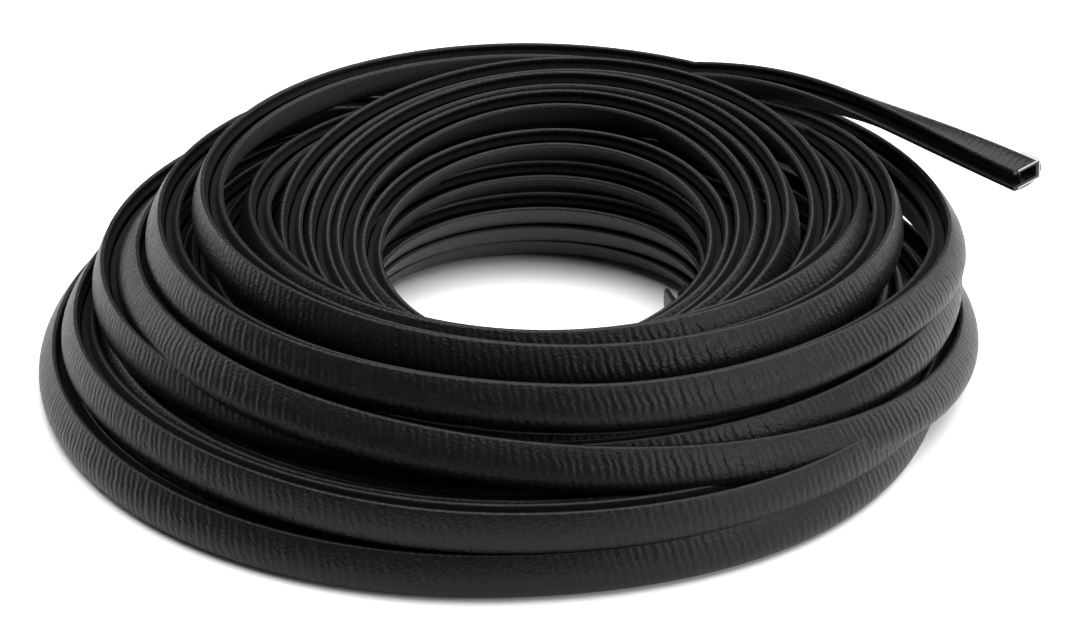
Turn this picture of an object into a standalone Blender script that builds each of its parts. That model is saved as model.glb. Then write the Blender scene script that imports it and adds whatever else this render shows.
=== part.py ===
"""Edge trim seal: a 28 m roll of U-shaped plastic trim with a steel carrier in its walls.

The strip is wound with its mouth up in five stacked layers, each smaller than the one below, and
every turn leans in towards the hole. The turns lie loose and a little crooked, so each row of turns
is given by its outer lip on the left, front, right and back of the roll. One end leaves the top
layer and stands clear of the roll, and the other end lies cut inside the hole. Lengths are in
metres, +Z is up.
"""

import math

import bpy
import bmesh
from mathutils import Vector

# Section of the strip: a U with its crown down and its mouth up.
TRIM_WIDTH = 0.0095
TRIM_HEIGHT = 0.0145
LEG_THICKNESS = 0.0025
CROWN_THICKNESS = 0.0030
CROWN_RADIUS = 0.0040
TIP_CHAMFER = 0.0010

# Steel carrier seen in the cut ends, and the clearance around it.
CARRIER_THICKNESS = 0.0007
CARRIER_DEPTH = 0.0080
CARRIER_MARGIN = 0.0018
CLEARANCE = 0.0003

# The whole roll: radius of its lowest layer at the lip, and height of its top lip.
ROLL_RADIUS = 0.1650
ROLL_HEIGHT = 0.0660

# Rows of turns. Each side is the outer lip's distance from the roll's axis in hundredths of
# ROLL_RADIUS, its height in hundredths of ROLL_HEIGHT, and the lean in degrees, in the order
# left, front, right, back. The outer rows go up the roll's side from the floor.
OUTER_ROWS = (
    ("layer_1", ((-95.0, 24.0, 24.0), (-99.0, 24.0, 19.0), (93.5, 24.0, 20.0), (90.0, 24.0, 20.0))),
    ("layer_2", ((-89.5, 44.0, 26.0), (-97.5, 44.0, 14.0), (94.0, 40.0, 20.0), (84.0, 43.0, 22.0))),
    ("layer_3", ((-85.0, 60.0, 20.0), (-84.0, 59.0, 22.0), (95.0, 61.0, 20.0), (87.0, 60.0, 22.0))),
    ("layer_4", ((-73.0, 85.0, 24.0), (-79.5, 85.5, 26.0), (94.5, 79.0, 33.0), (86.0, 76.0, 22.0))),
    ("layer_5", ((-63.0, 100.0, 20.0), (-70.5, 92.5, 20.0), (83.5, 89.5, 20.0), (74.0, 97.5, 20.0))),
)

# The funnel of inner turns on the top, from layer_5 towards the hole.
FUNNEL_ROWS = (
    ("funnel_1", ((-47.0, 76.0, 23.0), (-60.5, 67.0, 23.0), (70.5, 86.5, 23.0), (66.5, 96.5, 23.0))),
    ("funnel_2", ((-41.0, 71.0, 25.0), (-55.0, 62.0, 25.0), (61.5, 84.0, 25.0), (59.5, 94.5, 25.0))),
    ("funnel_3", ((-35.0, 68.0, 30.0), (-49.5, 59.0, 30.0), (54.5, 80.0, 30.0), (51.0, 92.0, 30.0))),
    ("funnel_4", ((-29.5, 64.0, 32.0), (-43.5, 56.0, 32.0), (48.5, 72.0, 32.0), (39.5, 80.5, 32.0))),
)

# The turns that show in the wall of the hole, from the funnel down to the floor.
WALL_ROWS = (
    ("wall_4", ((-30.5, 54.0, 34.0), (-42.0, 46.0, 34.0), (47.0, 58.0, 34.0), (35.5, 65.5, 34.0))),
    ("wall_3", ((-31.0, 44.0, 36.0), (-41.0, 38.0, 36.0), (47.0, 47.0, 36.0), (31.5, 50.5, 36.0))),
    ("wall_2", ((-32.0, 34.0, 38.0), (-40.0, 31.0, 38.0), (47.5, 36.0, 38.0), (33.5, 37.0, 38.0))),
    ("wall_1", ((-33.5, 24.0, 40.0), (-40.0, 24.0, 40.0), (48.0, 24.0, 40.0), (37.0, 24.0, 40.0))),
)

# Loose turns that lie over the rows: the second turn of the top layer, and one that slopes down
# over the outer side from the third layer on the left to the second on the right.
TOP_SECOND = ((-53.5, 86.5, 20.0), (-65.0, 92.5, 20.0), (76.5, 92.0, 20.0), (71.0, 76.0, 20.0))
CROSSING = ((-78.0, 68.0, 28.0), (-87.0, 64.0, 28.0), (100.0, 36.0, 36.0), (89.0, 45.0, 24.0))

# Joints between neighbouring turns, and between the turns under the roll.
JOINT_DEPTH = 0.0014
JOINT_SLOPE = 1.1
DEEPEST_JOINT = 0.0090
LEDGE_DEPTH = 0.0020
SLOT_SLOPE = 2.0
WALL_NOTCH = 0.0030
FLOOR_TURNS = 10
FLOOR_NOTCH_WIDTH = 0.0036
FLOOR_NOTCH_DEPTH = 0.0018

# The free end: where it starts and leaves the top turn, and how it bends, rises, drops and rolls over.
FREE_END_START_ANGLE = 66.0
FREE_END_LEAVE_ANGLE = 61.0
FREE_END_INSET = 0.0004
FREE_END_LENGTH = 0.1520
FREE_END_STRAIGHTEN = 0.06
FREE_END_BEND = 25.5
FREE_END_RISE = 0.0290
FREE_END_DROP = 0.0145
FREE_END_ROLL = 96.0
FREE_END_POINTS = 12

# The inner end: the cut end of the lowest inner turn, which comes off the wall at the front right.
INNER_END_STOP_ANGLE = 14.0
INNER_END_START_ANGLE = -58.0
INNER_END_OFFSET = 0.0108
INNER_END_OVERLAP = 0.0030
INNER_END_LEAN = 6.0
INNER_END_POINTS = 8

ROUND_STEPS = 38


def clear_scene():
    """Remove every object, so the script can be run again."""
    for item in list(bpy.data.objects):
        bpy.data.objects.remove(item, do_unlink=True)


def new_collection(name):
    collection = bpy.data.collections.new(name)
    bpy.context.scene.collection.children.link(collection)
    return collection


def plastic_material(name, colour, roughness, metallic):
    material = bpy.data.materials.new(name)
    material.use_nodes = True
    shader = material.node_tree.nodes["Principled BSDF"]
    shader.inputs["Base Color"].default_value = (*colour, 1.0)
    shader.inputs["Roughness"].default_value = roughness
    shader.inputs["Metallic"].default_value = metallic
    return material


def around(sides, share, turn):
    """A value that is given on four sides of the roll, at an angle around it."""
    left, front, right, back = (side[share] for side in sides)
    return (
        (left + front + right + back) / 4
        + (right - left) / 2 * math.cos(turn)
        + (back - front) / 2 * math.sin(turn)
        + (right + left - front - back) / 4 * math.cos(2 * turn)
    )


class Turn:
    """One turn of the strip at an angle around the roll: its outer lip, the way out and its lean."""

    def __init__(self, sides, turn):
        left, front, right, back = (side[0] / 100 * ROLL_RADIUS for side in sides)
        centre = Vector(((right + left) / 2, (back + front) / 2, 0.0))
        spans = ((right - left) / 2, (back - front) / 2)
        height = around(sides, 1, turn) / 100 * ROLL_HEIGHT
        self.lip = centre + Vector((spans[0] * math.cos(turn), spans[1] * math.sin(turn), height))
        self.out = Vector((spans[1] * math.cos(turn), spans[0] * math.sin(turn), 0.0)).normalized()
        self.lean = math.radians(around(sides, 2, turn))

    def place(self, across, up):
        """A point of the section, counted inwards from the outer face and up from the crown."""
        cosine, sine = math.cos(self.lean), math.sin(self.lean)
        drop = TRIM_HEIGHT - up
        rise = Vector((0.0, 0.0, -across * sine - drop * cosine))
        return self.lip + self.out * (drop * sine - across * cosine) + rise

    def measure(self, point):
        """How far a point lies across and up in this turn's section."""
        cosine, sine = math.cos(self.lean), math.sin(self.lean)
        inward = (self.lip - point).dot(self.out)
        drop = self.lip.z - point.z
        return inward * cosine + drop * sine, TRIM_HEIGHT - drop * cosine + inward * sine


def crown_points(turn):
    """The outer half of the rounded crown, up to the outer face."""
    r = CROWN_RADIUS
    return [turn.place(across, up) for across, up in ((r, 0.0), (0.3 * r, 0.3 * r), (0.0, r))]


def mouth_points(turn, start):
    """Both lips and the slot of a turn, from its outer side inwards."""
    w, h, leg = TRIM_WIDTH, TRIM_HEIGHT, LEG_THICKNESS
    section = ((start, h), (leg, h), (leg, CROWN_THICKNESS), (w - leg, CROWN_THICKNESS), (w - leg, h), (w, h))
    return [turn.place(across, up) for across, up in section]


def joint_point(before, after):
    """Bottom of the joint between a turn and the next one inwards, deeper where they lie apart."""
    across, up = before.measure(after.place(0.0, TRIM_HEIGHT))
    gap = max(across - TRIM_WIDTH, 0.0)
    depth = min(JOINT_DEPTH + JOINT_SLOPE * gap, DEEPEST_JOINT)
    return before.place(TRIM_WIDTH + gap / 2, min(up, TRIM_HEIGHT) - depth)


def lip_start(before, after):
    """Where a turn's mouth starts across its section, beside the turn before it."""
    across, up = before.measure(after.place(0.0, TRIM_HEIGHT))
    return max(0.0, TRIM_WIDTH + CLEARANCE - across)


def step_points(below, above):
    """The outer lip and slot of a lower turn, as far as they show under the turn that lies on it."""
    leg = LEG_THICKNESS
    across, up = below.measure(above.place(0.0, 0.0))
    reach = min(max(across + LEDGE_DEPTH, leg + CLEARANCE), TRIM_WIDTH - leg)
    crown = above.place(max(CROWN_RADIUS, reach - across), 0.0)
    top = min(TRIM_HEIGHT, min(up, below.measure(crown)[1]) - 2 * CLEARANCE)
    shown = min(max(across - leg, 0.0), TRIM_WIDTH - 2 * leg)
    floor = top - CLEARANCE - SLOT_SLOPE * shown
    return [below.place(x, y) for x, y in ((0.0, top), (leg, top), (leg, floor), (reach, floor))] + [crown]


def shoulder_points(below, above):
    """The mouth of a turn that is wider than the one above, and the joint under that one's crown."""
    across, up = below.measure(above.place(0.0, 0.0))
    return mouth_points(below, 0.0) + [below.place(TRIM_WIDTH + CLEARANCE, min(TRIM_HEIGHT, up) - JOINT_DEPTH)]


def wall_points(before, after):
    """The notch and the inner lip of a turn in the wall of the hole."""
    w, h, leg = TRIM_WIDTH, TRIM_HEIGHT, LEG_THICKNESS
    spacing = (before.place(w, h) - after.place(w, h)).length
    notch = min(WALL_NOTCH, spacing / 6)
    return [after.place(w - leg - notch, h - notch), after.place(w - leg, h), after.place(w, h)]


def floor_points(outer, inner):
    """The underside, with the joints between its turns, from the hole outwards."""
    start, stop = inner.place(TRIM_WIDTH - CROWN_RADIUS, 0.0), outer.place(CROWN_RADIUS, 0.0)
    start.z = stop.z = 0.0
    pitch = (stop - start) / FLOOR_TURNS
    half_notch = pitch.normalized() * FLOOR_NOTCH_WIDTH / 2
    points = [start]
    for number in range(1, FLOOR_TURNS):
        joint = start + pitch * number
        points += [joint - half_notch, joint + Vector((0.0, 0.0, FLOOR_NOTCH_DEPTH)), joint + half_notch]
    return points + [stop]


def roll_outline(angle):
    """The closed half section of the whole roll at an angle around it."""
    outer = [Turn(sides, angle) for name, sides in OUTER_ROWS]
    funnel = [Turn(sides, angle) for name, sides in FUNNEL_ROWS]
    wall = [Turn(sides, angle) for name, sides in WALL_ROWS]
    floor_turn, second, third, fourth, top = outer
    w, r = TRIM_WIDTH, CROWN_RADIUS
    points = []
    for below, above in ((floor_turn, second), (second, third), (third, fourth)):
        points += crown_points(below)[1:] + step_points(below, above)
    points += crown_points(fourth)[1:] + shoulder_points(fourth, top)
    points += crown_points(top)[1:] + mouth_points(top, 0.0)
    for before, after in zip([top] + funnel, funnel):
        points.append(joint_point(before, after))
        points += mouth_points(after, lip_start(before, after))
    for before, after in zip([funnel[-1]] + wall, wall):
        points += wall_points(before, after)
    last = wall[-1]
    points += [last.place(w, r), last.place(w - 0.3 * r, 0.3 * r)]
    return points + floor_points(floor_turn, last)


def ring_mesh(name, rings, closed):
    """A closed skin over outlines that follow each other; a closed one comes back to its start."""
    mesh = bpy.data.meshes.new(name)
    build = bmesh.new()
    loops = [[build.verts.new(place) for place in places] for places in rings]
    count = len(rings[0])
    for loop, following in zip(loops, loops[1:] + (loops[:1] if closed else [])):
        for i in range(count):
            j = (i + 1) % count
            build.faces.new((loop[i], loop[j], following[j], following[i]))
    if not closed:
        build.faces.new(reversed(loops[0]))
        build.faces.new(loops[-1])
    bmesh.ops.recalc_face_normals(build, faces=build.faces)
    build.to_mesh(mesh)
    build.free()
    return mesh


def wound(name, outline, collection):
    """Wind an outline, which is a function of the angle, once around the roll."""
    angles = [2 * math.pi * step / ROUND_STEPS for step in range(ROUND_STEPS)]
    item = bpy.data.objects.new(name, ring_mesh(name, [outline(angle) for angle in angles], True))
    collection.objects.link(item)
    return item


def loose_turn_outline(sides):
    """The outline of one loose turn, as a function of the angle."""
    w, h, leg, r = TRIM_WIDTH, TRIM_HEIGHT, LEG_THICKNESS, CROWN_RADIUS
    section = (
        (0.0, h), (leg, h), (leg, CROWN_THICKNESS), (w - leg, CROWN_THICKNESS), (w - leg, h), (w, h),
        (w, r), (w - r, 0.0), (r, 0.0), (0.3 * r, 0.3 * r), (0.0, r),
    )
    return lambda angle: [Turn(sides, angle).place(across, up) for across, up in section]


def trim_section():
    """The closed outline of the U, with its middle line at x = 0 and its crown at y = 0."""
    w, h, leg, r, c = TRIM_WIDTH / 2, TRIM_HEIGHT, LEG_THICKNESS, CROWN_RADIUS, TIP_CHAMFER
    half = [
        (w - r, 0.0), (w - 0.3 * r, 0.3 * r), (w, r), (w, h - c), (w - c, h),
        (w - leg + c, h), (w - leg, h - c), (w - leg, CROWN_THICKNESS),
    ]
    return half + [(-x, y) for x, y in reversed(half)]


def carrier_section(grow):
    """The closed outline of the steel carrier in the middle of the walls, grown by a clearance."""
    middle = TRIM_WIDTH / 2 - LEG_THICKNESS / 2
    half = CARRIER_THICKNESS / 2 + grow
    top = TRIM_HEIGHT - CARRIER_MARGIN + grow
    base = CROWN_THICKNESS / 2
    side = [
        (middle + half, base - half), (middle + half, top),
        (middle - half, top), (middle - half, base + half),
    ]
    return side + [(-x, y) for x, y in reversed(side)]


def swept(name, section, route, rolls, collection):
    """Sweep a closed section along a route of crown points; a roll turns the mouth inwards."""
    rings = []
    for index, point in enumerate(route):
        before = route[max(index - 1, 0)]
        after = route[min(index + 1, len(route) - 1)]
        along = (after - before).normalized()
        level = along.cross(Vector((0.0, 0.0, 1.0))).normalized()
        upright = level.cross(along)
        cosine, sine = math.cos(rolls[index]), math.sin(rolls[index])
        inward = level * cosine - upright * sine
        upward = upright * cosine + level * sine
        rings.append([point + inward * x + upward * y for x, y in section])
    item = bpy.data.objects.new(name, ring_mesh(name, rings, False))
    collection.objects.link(item)
    return item


def smooth_step(share):
    return share * share * (3.0 - 2.0 * share)


def free_end_route():
    """Crown points and rolls of the free end, clockwise from the back of the top layer."""
    sides = OUTER_ROWS[-1][1]
    route = []
    rolls = []
    for degrees in (FREE_END_START_ANGLE, FREE_END_LEAVE_ANGLE):
        turn = Turn(sides, math.radians(degrees))
        route.append(turn.place(TRIM_WIDTH / 2 + FREE_END_INSET, FREE_END_INSET))
        rolls.append(turn.lean)
    start = route[-1]
    along = start - route[-2]
    heading = math.atan2(along.y, along.x)
    radius = math.hypot(start.x, start.y)
    step = FREE_END_LENGTH / FREE_END_POINTS
    point = start.copy()
    angle = rolls[-1]
    for index in range(1, FREE_END_POINTS + 1):
        share = index / FREE_END_POINTS
        bend = (1.0 - smooth_step(min(1.0, share / FREE_END_STRAIGHTEN))) * step / radius
        heading -= bend + math.radians(FREE_END_BEND) / FREE_END_POINTS
        point = point + Vector((math.cos(heading), math.sin(heading), 0.0)) * step
        lift = FREE_END_RISE * share - FREE_END_DROP * share * share
        route.append(Vector((point.x, point.y, start.z + lift)))
        rolls.append(angle + (math.radians(FREE_END_ROLL) - angle) * smooth_step(share))
    return route, rolls


def inner_end_route():
    """Crown points and rolls of the inner end, clockwise from its cut face into the front wall."""
    sides = WALL_ROWS[-1][1]
    lift = TRIM_WIDTH / 2 * math.sin(math.radians(INNER_END_LEAN))
    route = []
    rolls = []
    for index in range(INNER_END_POINTS):
        share = index / (INNER_END_POINTS - 1)
        degrees = INNER_END_STOP_ANGLE + (INNER_END_START_ANGLE - INNER_END_STOP_ANGLE) * share
        wall = Turn(sides, math.radians(degrees))
        reach = INNER_END_OFFSET - (INNER_END_OFFSET + INNER_END_OVERLAP) * smooth_step(share)
        point = wall.place(TRIM_WIDTH, TRIM_HEIGHT / 2) - wall.out * reach
        route.append(Vector((point.x, point.y, lift)))
        rolls.append(math.radians(INNER_END_LEAN))
    return route, rolls


def end_stretch(route, rolls, length, past_end):
    """The straight piece of a route at its cut end, cut to a length and run past the end."""
    along = (route[-1] - route[-2]).normalized()
    return [route[-1] - along * length, route[-1] + along * past_end], [rolls[-1], rolls[-1]]


def start_stretch(route, rolls, length, past_end):
    """The same for a route that begins with its cut end."""
    along = (route[1] - route[0]).normalized()
    return [route[0] - along * past_end, route[0] + along * length], [rolls[0], rolls[0]]


def boolean(target, other, operation):
    modifier = target.modifiers.new(other.name, "BOOLEAN")
    modifier.operation = operation
    modifier.solver = "MANIFOLD"
    modifier.object = other


def build_coil(parts, guides, plastic):
    """The wound roll with its hole, and the two loose turns joined to it."""
    coil = wound("edge_trim_coil", roll_outline, parts)
    coil.data.materials.append(plastic)
    for name, sides in (("top_second", TOP_SECOND), ("crossing", CROSSING)):
        boolean(coil, wound(name, loose_turn_outline(sides), guides), "UNION")
    return coil


def add_end(coil, name, route, rolls, stretch, parts, guides, steel):
    """Join one end of the strip to the coil, and set the steel carrier in its cut face."""
    boolean(coil, swept(name, trim_section(), route, rolls, guides), "UNION")
    slot_route, slot_rolls = stretch(route, rolls, CARRIER_DEPTH + CLEARANCE, TRIM_WIDTH)
    slot = swept(name + "_slot", carrier_section(CLEARANCE), slot_route, slot_rolls, guides)
    boolean(coil, slot, "DIFFERENCE")
    steel_route, steel_rolls = stretch(route, rolls, CARRIER_DEPTH, 0.0)
    carrier = swept("steel_carrier_" + name, carrier_section(0.0), steel_route, steel_rolls, parts)
    carrier.data.materials.append(steel)


def world_box(items):
    """Lowest and highest corners of the evaluated objects."""
    bpy.context.view_layer.update()
    graph = bpy.context.evaluated_depsgraph_get()
    places = []
    for item in items:
        shape = item.evaluated_get(graph)
        mesh = shape.to_mesh()
        places += [shape.matrix_world @ vert.co for vert in mesh.vertices]
        shape.to_mesh_clear()
    low = Vector([min(place[axis] for place in places) for axis in range(3)])
    high = Vector([max(place[axis] for place in places) for axis in range(3)])
    return low, high


def centre_on_floor(parts, guides):
    """Move everything so that the origin is under the middle of the roll's box, on the floor."""
    low, high = world_box(parts.objects)
    middle = (low + high) / 2
    for item in list(parts.objects) + list(guides.objects):
        item.location.x -= middle.x
        item.location.y -= middle.y
        item.location.z -= low.z


def main():
    clear_scene()
    parts = new_collection("edge_trim_seal")
    guides = new_collection("guides")
    plastic = plastic_material("black_plastic", (0.018, 0.018, 0.019), 0.42, 0.0)
    steel = plastic_material("carrier_steel", (0.62, 0.62, 0.60), 0.28, 1.0)
    coil = build_coil(parts, guides, plastic)
    add_end(coil, "outer_end", *free_end_route(), end_stretch, parts, guides, steel)
    add_end(coil, "inner_end", *inner_end_route(), start_stretch, parts, guides, steel)
    for item in guides.objects:
        item.hide_render = True
        item.display_type = "WIRE"
    centre_on_floor(parts, guides)


if __name__ == "__main__":
    main()
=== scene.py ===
"""Edge trim seal: the looks of a wound roll of U-shaped trim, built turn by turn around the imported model."""

import math

import bpy
import numpy as np
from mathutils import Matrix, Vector


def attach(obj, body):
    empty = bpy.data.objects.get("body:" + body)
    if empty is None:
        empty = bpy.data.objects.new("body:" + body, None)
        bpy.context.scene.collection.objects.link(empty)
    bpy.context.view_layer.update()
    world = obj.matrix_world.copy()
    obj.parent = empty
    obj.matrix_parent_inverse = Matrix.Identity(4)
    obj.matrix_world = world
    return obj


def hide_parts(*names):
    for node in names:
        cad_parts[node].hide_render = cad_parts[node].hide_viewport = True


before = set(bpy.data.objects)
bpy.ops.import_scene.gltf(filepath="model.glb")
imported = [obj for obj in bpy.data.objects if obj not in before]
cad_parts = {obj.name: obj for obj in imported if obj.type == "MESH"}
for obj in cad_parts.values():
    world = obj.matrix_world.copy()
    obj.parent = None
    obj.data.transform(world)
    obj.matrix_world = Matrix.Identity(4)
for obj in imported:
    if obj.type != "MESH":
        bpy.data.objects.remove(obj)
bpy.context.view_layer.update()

bl_info = {
    "name": "Edge Trim Seal",
    "version": (1, 0, 0),
    "blender": (4, 5, 0),
    "location": "View3D > Sidebar > Edge Trim",
    "description": "Winds a roll of U-shaped edge trim and sets it on a pale floor",
    "category": "Add Mesh",
}

MM = 0.001
UP = np.array((0.0, 0.0, 1.0))

# The roll's axis in the part's frame.
AXIS_X = -0.014995
AXIS_Y = 0.007339

# The rows that show and the first row of each hidden layer, from the free end inwards. Each has the outer
# lip's distance from the roll's axis, its height above the floor (millimetres) and its lean (degrees) on the
# left, front, right and back, then the angle by which it has passed into the next turn (degrees), the arc
# over which it does so, and how many even turns lie between it and the next row.
ROWS = (
    ("top_outer", (-104, 66, 20), (-116.3, 61, 27), (137.8, 59.1, 20), (122.1, 64.4, 20), 65, 60, 0),
    ("top_second", (-88.3, 57.1, 20), (-107.3, 61, 27), (126.2, 60.7, 20), (117.2, 50.2, 20), 75, 40, 0),
    ("top_third", (-87, 44, 20), (-104, 46, 20), (127, 46, 20), (107, 48, 20), 315, 75, 0),
    ("funnel_1", (-77.6, 50.2, 23), (-99.8, 44.2, 23), (116.3, 57.1, 23), (109.7, 63.7, 23), 315, 75, 0),
    ("funnel_2", (-67.7, 46.9, 25), (-90.8, 40.9, 25), (101.5, 55.4, 25), (98.2, 62.4, 25), 315, 75, 0),
    ("funnel_3", (-57.8, 44.9, 30), (-81.7, 38.9, 30), (89.9, 52.8, 30), (84.2, 60.7, 30), 315, 75, 0),
    ("funnel_4", (-48.7, 42.2, 32), (-71.8, 37, 32), (80, 47.5, 32), (65.2, 53.1, 32), 315, 75, 0),
    ("wall_4", (-50.3, 35.6, 34), (-69.3, 30.4, 34), (77.6, 38.3, 34), (58.6, 43.2, 34), 315, 75, 0),
    ("wall_3", (-51.2, 29, 36), (-67.7, 25.1, 36), (77.6, 31, 36), (52, 33.3, 36), 315, 75, 0),
    ("wall_2", (-52.8, 22.4, 38), (-66, 20.5, 38), (78.4, 23.8, 38), (55.3, 24.4, 38), 315, 75, 9),
    ("second_hidden", (-137, 27, 26), (-149, 26, 24), (144, 24, 22), (128, 27, 24), 120, 75, 0),
    ("third_hidden", (-118, 42, 24), (-130, 38, 26), (141, 28, 22), (131, 32, 22), 120, 75, 1),
    ("third_inner", (-99, 43, 24), (-113, 42, 24), (131, 34, 22), (121, 34, 22), 150, 60, 0),
    ("fourth_outer", (-119, 57.1, 28), (-132.3, 56.3, 28), (157.9, 50, 34), (141.3, 50, 21), 120, 75, 0),
    ("crossing", (-126.6, 46.1, 40), (-144.6, 43.1, 30), (163.4, 20.5, 35), (146, 29.7, 20), 120, 75, 0),
    ("third_outer", (-140.3, 40, 20), (-138.7, 38.8, 23), (160, 40.5, 17), (143.6, 39.6, 22), 120, 75, 0),
    ("second_outer", (-148, 28, 30), (-162.8, 29.8, 9), (153.5, 23, 20), (138.6, 28.4, 22), 120, 75, 0),
    ("first_outer", (-156.9, 15.8, 32), (-163.5, 15.8, 16), (151.5, 15.8, 19), (148.5, 15.8, 20), 120, 75,
     0),
    ("floor_hidden", (-147, 15.8, 26), (-154, 15.8, 22), (142.5, 15.8, 22), (139.5, 15.8, 24), 120, 75, 10),
    ("wall_1", (-55.3, 15.8, 40), (-66, 15.8, 40), (79.2, 15.8, 40), (61.1, 15.8, 40), 14, 72, 0),
)

# How far some rows stand out from their oval halfway between the back and left, left and front, and front
# and right sides (millimetres).
BULGES = {
    "fourth_outer": (0, 2, -5),
    "second_outer": (0, -3, 1),
    "first_outer": (0, 0, 5),
}

# How many sections of the strip make one turn.
STEPS_A_TURN = 160

# The free end leaves the top turn at an angle (degrees) and loses the roll's curve over a first share of its
# length (metres). Then it bends on (degrees), rises and drops (metres) and rolls its mouth over (degrees). It
# starts with a small inset (metres), which is eased away so many times sooner than the length.
FREE_END_STARTS = 66.0
FREE_END_LEAVES = 61.0
FREE_END_INSET = 0.0004
FREE_END_LENGTH = 0.152
FREE_END_STRAIGHTENS = 0.06
FREE_END_BEND = 25.5
FREE_END_RISE = 0.029
FREE_END_DROP = 0.0145
FREE_END_ROLL = 96.0
FREE_END_STEPS = 12
FREE_END_EASES = 3

# The inner end comes off the lowest wall turn and is cut in the hole: where it starts and stops (degrees),
# how far it stands off the wall at its cut and sinks into it at its start (metres), how it leans (degrees)
# and how much sooner than at its cut it stands off in full.
INNER_END_STARTS = -58.0
INNER_END_STOPS = 14.0
INNER_END_OFFSET = 0.0108
INNER_END_OVERLAP = 0.0030
INNER_END_LEAN = 6.0
INNER_END_LOOSENS = 1.6
INNER_END_STEPS = 8

# How many points of the two ends lie between their steps.
POINTS_A_STEP = 4

# How far the plastic's cut faces stand back from the carrier's steel.
CUT_BACK = 0.00015

# The gripping fins' corners below the lips on the outer and the inner leg, the step under the outer one, and
# the rounding at the slot's floor (metres).
OUTER_FIN_DEPTHS = (0.0023, 0.0032, 0.0037)
INNER_FIN_DEPTHS = (0.0052, 0.0047, 0.0041, 0.0035)
FIN_STEP = 0.0002
SLOT_ROUND = 0.0011

# Where the sides are fullest and where they draw in to the lips, as shares of the height, how far they have
# drawn in there, as a share of the bulge, and how much taller than wide the rounding of the crown is.
SIDE_FULL = 0.60
SIDE_DRAWS_IN = 0.76
SIDE_DRAWN = 0.3
CROWN_STRETCH = 1.6

# The sharpest edge that is still shaded smooth (degrees).
SMOOTH_EDGE = 50.0

# The rows that each separate mesh starts with.
MESHES = (
    ("trim_top_turns", "top_outer"),
    ("trim_second_layer", "wall_2"),
    ("trim_outer_turns", "third_hidden"),
    ("trim_floor_layer", "floor_hidden"),
)


class TrimSizes(bpy.types.PropertyGroup):
    """Sizes of the strip's section."""
    width: bpy.props.FloatProperty(
        name="Width", description="Width of the U over both legs", default=0.0095, unit="LENGTH")
    height: bpy.props.FloatProperty(
        name="Height", description="Height of the U from crown to lips", default=0.0145, unit="LENGTH")
    leg: bpy.props.FloatProperty(
        name="Leg", description="Thickness of one leg", default=0.0025, unit="LENGTH")
    crown: bpy.props.FloatProperty(
        name="Crown", description="Thickness of the crown", default=0.0030, unit="LENGTH")
    crown_radius: bpy.props.FloatProperty(
        name="Crown radius", description="Rounding of the crown", default=0.0046, unit="LENGTH")
    lip_radius: bpy.props.FloatProperty(
        name="Lip radius", description="Rounding of the lips", default=0.0009, unit="LENGTH")
    bulge: bpy.props.FloatProperty(
        name="Bulge", description="How far the sides stand out below the lips", default=0.0005,
        unit="LENGTH")
    fin: bpy.props.FloatProperty(
        name="Fin", description="Reach of the gripping fins in the slot", default=0.0017, unit="LENGTH")


class TrimFinish(bpy.types.PropertyGroup):
    """Colour and relief of the plastic."""
    colour: bpy.props.FloatVectorProperty(
        name="Colour", description="Colour of the plastic", subtype="COLOR",
        default=(0.0026, 0.0026, 0.0027))
    # The inner faces' paler colour is painted light: the plastic there is the same black, only lit from the
    # front.
    inner_painted_light_colour: bpy.props.FloatVectorProperty(
        name="Inner colour", description="Colour of the inner faces", subtype="COLOR",
        default=(0.045, 0.041, 0.038))
    # Deep in the slot the colour is painted shade: the same black plastic, darkened where little light
    # reaches.
    slot_painted_shade_colour: bpy.props.FloatVectorProperty(
        name="Slot colour", description="Colour deep in the slot", subtype="COLOR",
        default=(0.0008, 0.0008, 0.0008))
    ridge_pitch: bpy.props.FloatProperty(
        name="Ridge pitch", description="Distance between the ridges", default=0.0027, unit="LENGTH")
    relief_depth: bpy.props.FloatProperty(
        name="Relief depth", description="Height of the ridges", default=0.00008, unit="LENGTH")
    grain: bpy.props.FloatProperty(
        name="Grain", description="Size of the leather grain", default=0.0010, unit="LENGTH")
    grain_depth: bpy.props.FloatProperty(
        name="Grain depth", description="Height of the grain as a share of the ridges", default=1.6)


class StageLook(bpy.types.PropertyGroup):
    """Floor and light."""
    floor_colour: bpy.props.FloatVectorProperty(
        name="Floor", description="Colour of the floor", subtype="COLOR", default=(0.94, 0.94, 0.94))
    sky: bpy.props.FloatProperty(
        name="Sky", description="Strength of the even light around", default=0.04)
    key: bpy.props.FloatProperty(
        name="Key light", description="Power of the large light above", default=80.0, unit="POWER")
    side: bpy.props.FloatProperty(
        name="Side light", description="Power of the light at the front right", default=13.0, unit="POWER")
    rim: bpy.props.FloatProperty(
        name="Rim lights", description="Power of the lights at the back left and right", default=7.0,
        unit="POWER")


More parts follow.
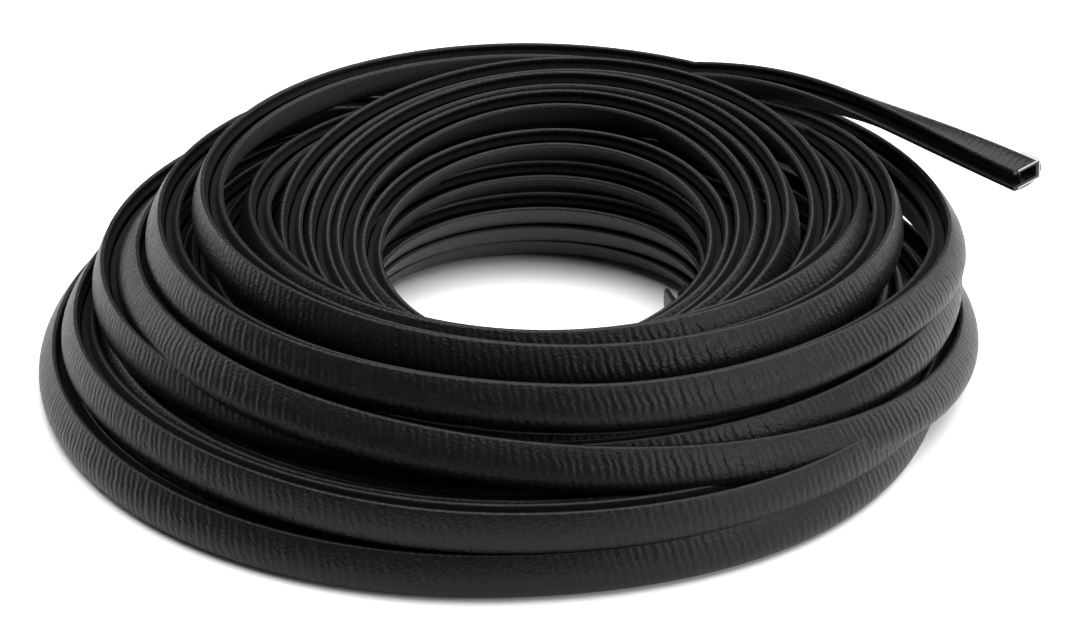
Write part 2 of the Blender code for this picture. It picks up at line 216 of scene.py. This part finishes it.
class Row:
    """The outer lip's distance, height and lean on the four sides, and how far it bulges between them."""

    def __init__(self, values, sizes):
        self.values = values
        self.sizes = sizes

    def mixed(self, other, share):
        """A turn on the way from this one to another."""
        return Row(self.values + (other.values - self.values) * share, self.sizes)

    def around(self, index, turn):
        """The height (1) or the lean (2) at a turn in radians, even between the four sides."""
        left, front, right, back = self.values[index:12:3]
        twist = (right + left - front - back) / 4 * math.cos(2 * turn)
        return (left + front + right + back) / 4 + (right - left) / 2 * math.cos(turn) \
            + (back - front) / 2 * math.sin(turn) + twist

    def at(self, degrees):
        """The lip's place at an angle, the way out, and the lean."""
        turn = math.radians(degrees)
        left, front, right, back = self.values[0:12:3]
        spans = ((right - left) / 2, (back - front) / 2)
        out = np.array([spans[1] * math.cos(turn), spans[0] * math.sin(turn), 0.0])
        out /= np.linalg.norm(out)
        bulge = self.values[12 + int(degrees % 360.0 // 90.0)] * math.sin(2 * turn) ** 2
        lip = np.array([
            (right + left) / 2 + spans[0] * math.cos(turn),
            (back + front) / 2 + spans[1] * math.sin(turn),
            self.around(1, turn),
        ])
        return (lip + out * bulge) * MM, out, math.radians(self.around(2, turn))

    def place(self, degrees, across, up):
        """A point of the section at an angle, counted inwards from its outer face and up from its crown."""
        lip, out, lean = self.at(degrees)
        drop = self.sizes.height - up
        cosine, sine = math.cos(lean), math.sin(lean)
        return lip + out * (drop * sine - across * cosine) - UP * (across * sine + drop * cosine)

    def crown(self, degrees):
        """The middle of the crown at an angle."""
        return self.place(degrees, self.sizes.width / 2, 0.0)


def all_turns(sizes):
    """Every turn in order: its row's name, its shape, where it passes on and over which arc."""
    rows = []
    for name, left, front, right, back, *_ in ROWS:
        bulges = (0,) + BULGES.get(name, (0, 0, 0))
        rows.append(Row(np.array((*left, *front, *right, *back, *bulges), float), sizes))
    turns = []
    for index, row in enumerate(rows):
        name, *_, passes, arc_length, between = ROWS[index]
        turns.append((name, row, passes, arc_length))
        for number in range(between):
            share = (number + 1) / (between + 1)
            angle = passes if share < 0.5 else ROWS[index + 1][-3]
            turns.append((name, row.mixed(rows[index + 1], share), angle, arc_length))
    return turns


def smooth_step(share):
    """A share between 0 and 1, eased at both ends."""
    share = min(1.0, max(0.0, share))
    return share * share * (3.0 - 2.0 * share)


def smoothed(values, pieces):
    """The same run of values with more of them, passing through every given one."""
    values = np.array(values)
    ends = np.concatenate([values[:1], values, values[-1:]])
    result = []
    for before, first, last, after in zip(ends, ends[1:], ends[2:], ends[3:]):
        for number in range(pieces):
            share = number / pieces
            result.append(0.5 * (
                2 * first + (last - before) * share
                + (2 * before - 5 * first + 4 * last - after) * share ** 2
                + (3 * first - before - 3 * last + after) * share ** 3))
    result.append(values[-1])
    return np.array(result)


def winding(turns):
    """Crown points and leans from where the free end leaves to where the inner end starts."""
    step = 360.0 / STEPS_A_TURN
    angle = FREE_END_LEAVES
    path, starts = [], {}
    for index, (name, row, passes, arc_length) in enumerate(turns):
        starts.setdefault(name, len(path))
        last = index == len(turns) - 1
        following = row if last else turns[index + 1][1]
        target = INNER_END_STARTS if last else passes
        stop = angle + (target - angle) % 360.0
        # Less than half a turn would skip the row's other sides, so it goes around once more.
        if stop - angle < 180.0:
            stop += 360.0
        count = round((stop - angle) / step)
        for number in range(count):
            degrees = angle + (stop - angle) * number / count
            now = row.mixed(following, smooth_step(1.0 - (stop - degrees) / arc_length))
            path.append((*now.crown(degrees), now.at(degrees)[2]))
        angle = stop
    return path, starts


def free_end(row, sizes):
    """Crown points and leans of the free end, from the winding to its cut face."""
    middle = sizes.width / 2
    before, start = (
        row.place(degrees, middle + FREE_END_INSET, FREE_END_INSET)
        for degrees in (FREE_END_STARTS, FREE_END_LEAVES))
    lean = row.at(FREE_END_LEAVES)[2]
    radius = math.hypot(start[0], start[1])
    heading = math.atan2(start[1] - before[1], start[0] - before[0])
    inset = start - row.crown(FREE_END_LEAVES)
    step = FREE_END_LENGTH / FREE_END_STEPS
    point = start.copy()
    path = [(*row.crown(FREE_END_LEAVES), lean)]
    for index in range(1, FREE_END_STEPS + 1):
        share = index / FREE_END_STEPS
        bend = (1.0 - smooth_step(share / FREE_END_STRAIGHTENS)) * step / radius
        heading -= bend + math.radians(FREE_END_BEND) / FREE_END_STEPS
        point = point + step * np.array((math.cos(heading), math.sin(heading), 0.0))
        lift = FREE_END_RISE * share - FREE_END_DROP * share ** 2
        place = point + UP * lift - inset * (1.0 - smooth_step(FREE_END_EASES * share))
        path.append((*place, lean + (math.radians(FREE_END_ROLL) - lean) * smooth_step(share)))
    return smoothed(path, POINTS_A_STEP)


def inner_end(row, sizes):
    """Crown points and leans of the inner end, from the lowest wall turn to its cut face."""
    lean = math.radians(INNER_END_LEAN)
    path = []
    for index in range(INNER_END_STEPS):
        share = 1.0 - index / (INNER_END_STEPS - 1)
        degrees = INNER_END_STOPS + (INNER_END_STARTS - INNER_END_STOPS) * share
        out, wall_lean = row.at(degrees)[1:]
        reach = INNER_END_OFFSET - (INNER_END_OFFSET + INNER_END_OVERLAP) * smooth_step(share)
        loose = row.place(degrees, sizes.width, sizes.height / 2) - out * reach
        loose[2] = sizes.width / 2 * math.sin(lean)
        away = smooth_step(INNER_END_LOOSENS * (1.0 - share))
        place = row.crown(degrees) * (1.0 - away) + loose * away
        path.append((*place, wall_lean + (lean - wall_lean) * away))
    return smoothed(path, POINTS_A_STEP)


def arc(centre, radius, first, last, count, stretch=1.0):
    """Points of a round stretch of the section, from one angle to another in degrees."""
    places = []
    for index in range(count):
        angle = math.radians(first + (last - first) * index / (count - 1))
        places.append((centre[0] + radius * math.cos(angle), centre[1] + radius * stretch * math.sin(angle)))
    return places


def section(sizes):
    """The closed outline of the U: across from its outer face, and up from its crown."""
    w, h, leg, r = sizes.width, sizes.height, sizes.leg, sizes.crown_radius
    lip, floor, fin, bulge = sizes.lip_radius, sizes.crown, sizes.fin, sizes.bulge
    outline = arc((bulge + lip, h - lip), lip, 180, 90, 4)
    outline += arc((leg - lip, h - lip), lip, 90, 0, 4)
    top, tip, under = OUTER_FIN_DEPTHS
    outline += [(leg, h - top), (leg + fin, h - tip), (leg + fin - FIN_STEP, h - under), (leg, h - under)]
    outline += arc((leg + SLOT_ROUND, floor + SLOT_ROUND), SLOT_ROUND, 180, 270, 4)
    outline += arc((w - leg - SLOT_ROUND, floor + SLOT_ROUND), SLOT_ROUND, 270, 360, 4)
    under, low, high, top = INNER_FIN_DEPTHS
    outline += [(w - leg, h - under), (w - leg - fin, h - low)]
    outline += [(w - leg - fin, h - high), (w - leg, h - top)]
    outline += arc((w - leg + lip, h - lip), lip, 180, 90, 4)
    outline += arc((w - bulge - lip, h - lip), lip, 90, 0, 4)
    outline += [(w - bulge * SIDE_DRAWN, h * SIDE_DRAWS_IN), (w, h * SIDE_FULL)]
    outline += arc((w - r, r * CROWN_STRETCH), r, 0, -90, 7, CROWN_STRETCH)
    outline += arc((r, r * CROWN_STRETCH), r, 270, 180, 7, CROWN_STRETCH)[1:]
    outline += [(0.0, h * SIDE_FULL), (bulge * SIDE_DRAWN, h * SIDE_DRAWS_IN)]
    return np.array(outline)


def sweep(name, path, along, sizes, keep):
    """A closed mesh of the section swept along part of the crown's line."""
    first, last = keep
    outline = section(sizes)
    tangents = np.gradient(path[:, :3], axis=0)
    tangents /= np.linalg.norm(tangents, axis=1)[:, None]
    outward = np.cross(tangents, UP)
    outward /= np.linalg.norm(outward, axis=1)[:, None]
    upward = np.cross(outward, tangents)
    points, leans, along = path[first:last, :3], path[first:last, 3:], along[first:last]
    outward, upward = outward[first:last], upward[first:last]
    across, rise = outline[:, 0] - sizes.width / 2, outline[:, 1]
    cosine, sine = np.cos(leans), np.sin(leans)
    shift_out = -across * cosine - rise * sine
    shift_up = -across * sine + rise * cosine
    places = points[:, None] + shift_out[..., None] * outward[:, None]
    places += shift_up[..., None] * upward[:, None]
    rings, sides = places.shape[:2]
    corner = np.arange(rings - 1)[:, None] * sides + np.arange(sides)[None]
    beside = np.arange(rings - 1)[:, None] * sides + (np.arange(sides)[None] + 1) % sides
    faces = np.stack([corner, corner + sides, beside + sides, beside], -1).reshape(-1, 4).tolist()
    faces.append(list(range(sides)))
    faces.append(list(range(rings * sides - 1, (rings - 1) * sides - 1, -1)))
    mesh = bpy.data.meshes.new(name)
    mesh.from_pydata(places.reshape(-1, 3).tolist(), [], faces)
    place = mesh.attributes.new("strip", "FLOAT_VECTOR", "POINT")
    values = np.stack(np.broadcast_arrays(along[:, None], outline[:, 0], outline[:, 1]), -1)
    place.data.foreach_set("vector", values.astype(np.float32).ravel())
    mesh.shade_smooth()
    mesh.set_sharp_from_angle(angle=math.radians(SMOOTH_EDGE))
    mesh.update()
    item = bpy.data.objects.new(name, mesh)
    bpy.context.scene.collection.objects.link(item)
    return item


def node(tree, kind, **values):
    """A shader node with its settings."""
    made = tree.nodes.new(kind)
    for key, value in values.items():
        setattr(made, key, value)
    return made


def maths(tree, operation, first, second=None, third=None):
    """A math node; each input is a number or a socket."""
    made = node(tree, "ShaderNodeMath", operation=operation)
    for index, value in enumerate((first, second, third)):
        if value is None:
            continue
        if isinstance(value, (int, float)):
            made.inputs[index].default_value = value
        else:
            tree.links.new(value, made.inputs[index])
    return made.outputs[0]


def noise(tree, place, scale):
    """Soft noise at a place on the strip."""
    made = node(tree, "ShaderNodeTexNoise")
    made.inputs["Scale"].default_value = scale
    tree.links.new(place, made.inputs["Vector"])
    return made.outputs[0]


def mixed_colour(tree, share, first, second):
    """A colour between two; each is three numbers or a socket."""
    made = node(tree, "ShaderNodeMixRGB")
    tree.links.new(share, made.inputs["Fac"])
    for name, colour in (("Color1", first), ("Color2", second)):
        if isinstance(colour, bpy.types.NodeSocket):
            tree.links.new(colour, made.inputs[name])
        else:
            made.inputs[name].default_value = (*colour, 1.0)
    return made.outputs[0]


# The relief of the plastic: the grain is finer across the strip than along it, the clouds thin the ridges
# out and the patches make them wander (metres) from their slant. Every second ridge is stronger. The outer
# face is the first share of the width.
GRAIN_STRETCH = 1.4
CLOUD_SCALE = 230.0
PATCH_SCALE = 150.0
RIDGE_SLANT = 0.25
RIDGE_WANDER = 0.0030
SECOND_RIDGE = 0.6
RIDGE_FULL = 1.6
RIDGE_LEAST = 0.1
OUTER_FACE = 0.4
OUTER_RELIEF_MIDDLE = 0.6
OUTER_RELIEF = 0.2
INNER_RELIEF = 0.2


def plastic_relief(tree, strip, flat, cloud, sizes, finish):
    """The bumped normal: leather grain everywhere, and slanted ridges, strongest on the outer face."""
    along, across, up = strip
    grain = node(tree, "ShaderNodeTexVoronoi", feature="SMOOTH_F1")
    grain.inputs["Scale"].default_value = 1.0 / finish.grain
    tree.links.new(flat, grain.inputs["Vector"])
    slant = maths(tree, "MULTIPLY_ADD", up, RIDGE_SLANT, along)
    wander = maths(tree, "MULTIPLY_ADD", noise(tree, flat, PATCH_SCALE), RIDGE_WANDER, slant)
    phase = maths(tree, "MULTIPLY", wander, 2 * math.pi / finish.ridge_pitch)
    broad = maths(tree, "SINE", maths(tree, "MULTIPLY", phase, 0.5))
    ridges = maths(tree, "MULTIPLY_ADD", broad, SECOND_RIDGE, maths(tree, "SINE", phase))
    ridges = maths(tree, "MULTIPLY", ridges, maths(tree, "MULTIPLY_ADD", cloud, RIDGE_FULL, RIDGE_LEAST))
    outer = maths(tree, "LESS_THAN", across, sizes.width * OUTER_FACE)
    middle = maths(tree, "SINE", maths(tree, "MULTIPLY", up, math.pi / sizes.height))
    stronger = maths(tree, "MULTIPLY_ADD", middle, OUTER_RELIEF_MIDDLE, OUTER_RELIEF)
    strength = maths(tree, "MULTIPLY_ADD", outer, stronger, INNER_RELIEF)
    relief = maths(tree, "MULTIPLY", ridges, strength)
    height = maths(tree, "MULTIPLY_ADD", grain.outputs["Distance"], finish.grain_depth, relief)
    bump = node(tree, "ShaderNodeBump")
    bump.inputs["Strength"].default_value = 1.0
    bump.inputs["Distance"].default_value = finish.relief_depth
    tree.links.new(height, bump.inputs["Height"])
    return bump.outputs[0]


# The colours of the plastic: how much lighter the clouds are, and the weave's pitches along and across the
# strip (metres), its contrast and how far the inner faces take on their paler colour, which is painted light.
CLOUD_TONE = 1.8
WEAVE_PITCHES = (0.0026, 0.0032)
WEAVE_CONTRAST = 0.2
INNER_PAINTED_LIGHT_SHARE = 0.75


def plastic_colour(tree, strip, cloud, shaded_slot, sizes, finish):
    """Black in soft clouds, woven and paler with painted light on the inner faces, dull and dark with painted
    shade in the slot.
    """
    along, across, up = strip
    tone = mixed_colour(tree, cloud, finish.colour, [CLOUD_TONE * value for value in finish.colour])
    facing = maths(tree, "GREATER_THAN", across, sizes.width - sizes.lip_radius)
    warp, weft = (
        maths(tree, "SINE", maths(tree, "MULTIPLY", place, 2 * math.pi / pitch))
        for place, pitch in zip((along, up), WEAVE_PITCHES))
    # The weave is the inner faces' pattern; the paleness it mixes in is painted light.
    weave = maths(tree, "MULTIPLY_ADD", maths(tree, "MULTIPLY", warp, weft), WEAVE_CONTRAST, INNER_PAINTED_LIGHT_SHARE)
    inner = mixed_colour(tree, maths(tree, "MULTIPLY", facing, weave), tone, finish.inner_painted_light_colour)
    # Painted shade deep in the slot.
    return mixed_colour(tree, shaded_slot, inner, finish.slot_painted_shade_colour)


# The gloss of the plastic: its specular level, its roughness, and how much duller it is in the clouds and in
# the slot. The slot, where the colour is darkened with painted shade, counts from a little outside its faces
# (metres).
PLASTIC_SPECULAR = 0.17
PLASTIC_ROUGHNESS = 0.34
CLOUD_ROUGHNESS = 0.14
SLOT_ROUGHNESS = 0.45
SLOT_EDGE = 0.0001
SLOT_FLOOR = 0.0002


def trim_plastic(sizes, finish):
    """Black soft plastic, laid out along the strip by the place that each point has on it."""
    material = bpy.data.materials.new("trim_plastic")
    material.use_nodes = True
    tree = material.node_tree
    shader = tree.nodes["Principled BSDF"]
    shader.inputs["Specular IOR Level"].default_value = PLASTIC_SPECULAR
    place = node(tree, "ShaderNodeAttribute", attribute_name="strip")
    parts = node(tree, "ShaderNodeSeparateXYZ")
    tree.links.new(place.outputs["Vector"], parts.inputs[0])
    strip = along, across, up = parts.outputs
    flat = node(tree, "ShaderNodeCombineXYZ")
    tree.links.new(along, flat.inputs[0])
    tree.links.new(maths(tree, "MULTIPLY", across, GRAIN_STRETCH), flat.inputs[1])
    tree.links.new(maths(tree, "MULTIPLY", up, GRAIN_STRETCH), flat.inputs[2])
    cloud = noise(tree, flat.outputs[0], CLOUD_SCALE)
    # The slot's inside, where painted shade darkens the colour and the plastic is duller.
    shaded_slot = maths(
        tree, "MULTIPLY",
        maths(tree, "COMPARE", across, sizes.width / 2, sizes.width / 2 - sizes.leg + SLOT_EDGE),
        maths(tree, "GREATER_THAN", up, sizes.crown - SLOT_FLOOR))
    normal = plastic_relief(tree, strip, flat.outputs[0], cloud, sizes, finish)
    tree.links.new(normal, shader.inputs["Normal"])
    colour = plastic_colour(tree, strip, cloud, shaded_slot, sizes, finish)
    tree.links.new(colour, shader.inputs["Base Color"])
    rough = maths(tree, "MULTIPLY_ADD", cloud, CLOUD_ROUGHNESS, PLASTIC_ROUGHNESS)
    tree.links.new(maths(tree, "MULTIPLY_ADD", shaded_slot, SLOT_ROUGHNESS, rough), shader.inputs["Roughness"])
    return material


# The steel's streaks: their scale, their two shades, and their roughness.
STREAK_SCALE = 2200.0
STREAK_SHADES = ((0.16, 0.16, 0.155, 1.0), (0.50, 0.50, 0.49, 1.0))
STEEL_ROUGHNESS = 0.28
STREAK_ROUGHNESS = 0.2


def cut_steel():
    """Bright sheared steel of the carrier's cut ends."""
    material = bpy.data.materials.new("cut_steel")
    material.use_nodes = True
    tree = material.node_tree
    shader = tree.nodes["Principled BSDF"]
    shader.inputs["Metallic"].default_value = 1.0
    streak = node(tree, "ShaderNodeTexNoise")
    streak.inputs["Scale"].default_value = STREAK_SCALE
    shade = node(tree, "ShaderNodeValToRGB")
    for element, colour in zip(shade.color_ramp.elements, STREAK_SHADES):
        element.color = colour
    tree.links.new(streak.outputs[0], shade.inputs[0])
    tree.links.new(shade.outputs[0], shader.inputs["Base Color"])
    rough = maths(tree, "MULTIPLY_ADD", streak.outputs[0], STREAK_ROUGHNESS, STEEL_ROUGHNESS)
    tree.links.new(rough, shader.inputs["Roughness"])
    return material


class EDGETRIM_OT_wind(bpy.types.Operator):
    """Wind the strip in its layers, with its free end and its inner end."""
    bl_idname = "edge_trim.wind"
    bl_label = "Wind the strip"

    def execute(self, context):
        sizes = context.scene.trim_sizes
        turns = all_turns(sizes)
        path, starts = winding(turns)
        outer = free_end(turns[0][1], sizes)[:0:-1]
        path = np.vstack([outer, path, inner_end(turns[-1][1], sizes)])
        path[:, :2] += (AXIS_X, AXIS_Y)
        for end, beside in ((0, 1), (-1, -2)):
            span = path[beside] - path[end]
            path[end] += span * CUT_BACK / np.linalg.norm(span[:3])
        along = np.append(0.0, np.cumsum(np.linalg.norm(np.diff(path[:, :3], axis=0), axis=1)))
        print("strip length %.2f m in %d turns" % (along[-1], len(turns)))
        plastic = trim_plastic(sizes, context.scene.trim_finish)
        cuts = [0] + [starts[row] + len(outer) for _, row in MESHES[1:]] + [len(path) - 1]
        for (name, _), first, last in zip(MESHES, cuts, cuts[1:]):
            piece = sweep(name, path, along, sizes, (first, last + 1))
            piece.data.materials.append(plastic)
            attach(piece, "root")
            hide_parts("edge_trim_coil")
        return {"FINISHED"}


class EDGETRIM_OT_carriers(bpy.types.Operator):
    """Give the carrier's cut ends their steel."""
    bl_idname = "edge_trim.carriers"
    bl_label = "Finish the carrier ends"

    def execute(self, context):
        steel = cut_steel()
        for name in ("steel_carrier_outer_end", "steel_carrier_inner_end"):
            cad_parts[name].data.materials.clear()
            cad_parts[name].data.materials.append(steel)
        return {"FINISHED"}


def area_light(name, place, target, size, power):
    """A rectangular light that looks at a point."""
    data = bpy.data.lights.new(name, "AREA")
    data.shape = "RECTANGLE"
    data.size, data.size_y = size
    data.energy = power
    item = bpy.data.objects.new(name, data)
    item.location = place
    item.rotation_euler = (Vector(target) - Vector(place)).to_track_quat("-Z", "Y").to_euler()
    bpy.context.scene.collection.objects.link(item)


# Each light's name, its power's setting, its place, the point it looks at and its size (metres).
LIGHTS = (
    ("key_light", "key", (0.2, 0.3, 1.4), (0.0, 0.1, 0.0), (2.4, 2.4)),
    ("side_light", "side", (1.2, -0.9, 0.6), (0.0, 0.0, 0.05), (0.8, 0.8)),
    ("left_rim_light", "rim", (-1.2, 0.6, 0.45), (0.0, 0.0, 0.05), (0.8, 0.8)),
    ("right_rim_light", "rim", (1.3, 0.5, 0.45), (0.0, 0.0, 0.05), (0.8, 0.8)),
)

# The floor's half width and how far it lies below the roll (metres).
FLOOR_REACH = 6.0
FLOOR_GAP = 0.0002
FLOOR_ROUGHNESS = 0.6

# The camera: how far down it looks (degrees), its distance from the roll's axis at the floor, how far it is
# moved to the right and up (metres), its lens and its sensor (millimetres).
CAMERA_DOWN = 28.5
CAMERA_DISTANCE = 0.840
CAMERA_RIGHT = 0.0140
CAMERA_UP = 0.0078
CAMERA_LENS = 77.56
SENSOR_WIDTH = 36.0


class EDGETRIM_OT_stage(bpy.types.Operator):
    """Set the floor, the light and the camera."""
    bl_idname = "edge_trim.stage"
    bl_label = "Set the stage"

    def execute(self, context):
        look = context.scene.trim_stage
        scene = context.scene
        mesh = bpy.data.meshes.new("pale_floor")
        signs = ((-1, -1), (1, -1), (1, 1), (-1, 1))
        corners = [(across * FLOOR_REACH, back * FLOOR_REACH, 0.0) for across, back in signs]
        mesh.from_pydata(corners, [], [(0, 1, 2, 3)])
        floor = bpy.data.objects.new("pale_floor", mesh)
        floor.location.z = -FLOOR_GAP
        scene.collection.objects.link(floor)
        paint = bpy.data.materials.new("pale_floor")
        paint.use_nodes = True
        shader = paint.node_tree.nodes["Principled BSDF"]
        shader.inputs["Base Color"].default_value = (*look.floor_colour, 1.0)
        shader.inputs["Roughness"].default_value = FLOOR_ROUGHNESS
        mesh.materials.append(paint)
        world = bpy.data.worlds.new("soft_sky")
        world.use_nodes = True
        sky = world.node_tree.nodes["Background"]
        sky.inputs["Color"].default_value = (1.0, 1.0, 1.0, 1.0)
        sky.inputs["Strength"].default_value = look.sky
        scene.world = world
        scene.view_settings.view_transform = "Standard"
        for name, setting, place, target, size in LIGHTS:
            area_light(name, place, target, size, getattr(look, setting))
        down = math.radians(CAMERA_DOWN)
        ahead = Vector((0.0, math.cos(down), -math.sin(down)))
        right = Vector((1.0, 0.0, 0.0))
        up = right.cross(ahead)
        axis = Vector((AXIS_X, AXIS_Y, 0.0))
        data = bpy.data.cameras.new("camera")
        data.sensor_width = SENSOR_WIDTH
        data.lens = CAMERA_LENS
        camera = bpy.data.objects.new("camera", data)
        camera.location = axis - ahead * CAMERA_DISTANCE + right * CAMERA_RIGHT + up * CAMERA_UP
        camera.rotation_euler = (math.pi / 2 - down, 0.0, 0.0)
        scene.collection.objects.link(camera)
        scene.camera = camera
        return {"FINISHED"}


class EDGETRIM_PT_panel(bpy.types.Panel):
    """The steps and their settings."""
    bl_label = "Edge Trim"
    bl_idname = "EDGETRIM_PT_panel"
    bl_space_type = "VIEW_3D"
    bl_region_type = "UI"
    bl_category = "Edge Trim"

    def draw(self, context):
        layout = self.layout
        for group in ("trim_sizes", "trim_finish", "trim_stage"):
            settings = getattr(context.scene, group)
            for name in settings.__annotations__:
                layout.prop(settings, name)
        for operator in OPERATORS:
            layout.operator(operator.bl_idname)


OPERATORS = (EDGETRIM_OT_wind, EDGETRIM_OT_carriers, EDGETRIM_OT_stage)
CLASSES = (TrimSizes, TrimFinish, StageLook) + OPERATORS + (EDGETRIM_PT_panel,)


def register():
    for item in CLASSES:
        bpy.utils.register_class(item)
    bpy.types.Scene.trim_sizes = bpy.props.PointerProperty(type=TrimSizes)
    bpy.types.Scene.trim_finish = bpy.props.PointerProperty(type=TrimFinish)
    bpy.types.Scene.trim_stage = bpy.props.PointerProperty(type=StageLook)


def unregister():
    del bpy.types.Scene.trim_stage
    del bpy.types.Scene.trim_finish
    del bpy.types.Scene.trim_sizes
    for item in reversed(CLASSES):
        bpy.utils.unregister_class(item)


def main():
    register()
    bpy.ops.edge_trim.wind()
    bpy.ops.edge_trim.carriers()
    bpy.ops.edge_trim.stage()


if __name__ == "__main__":
    main()
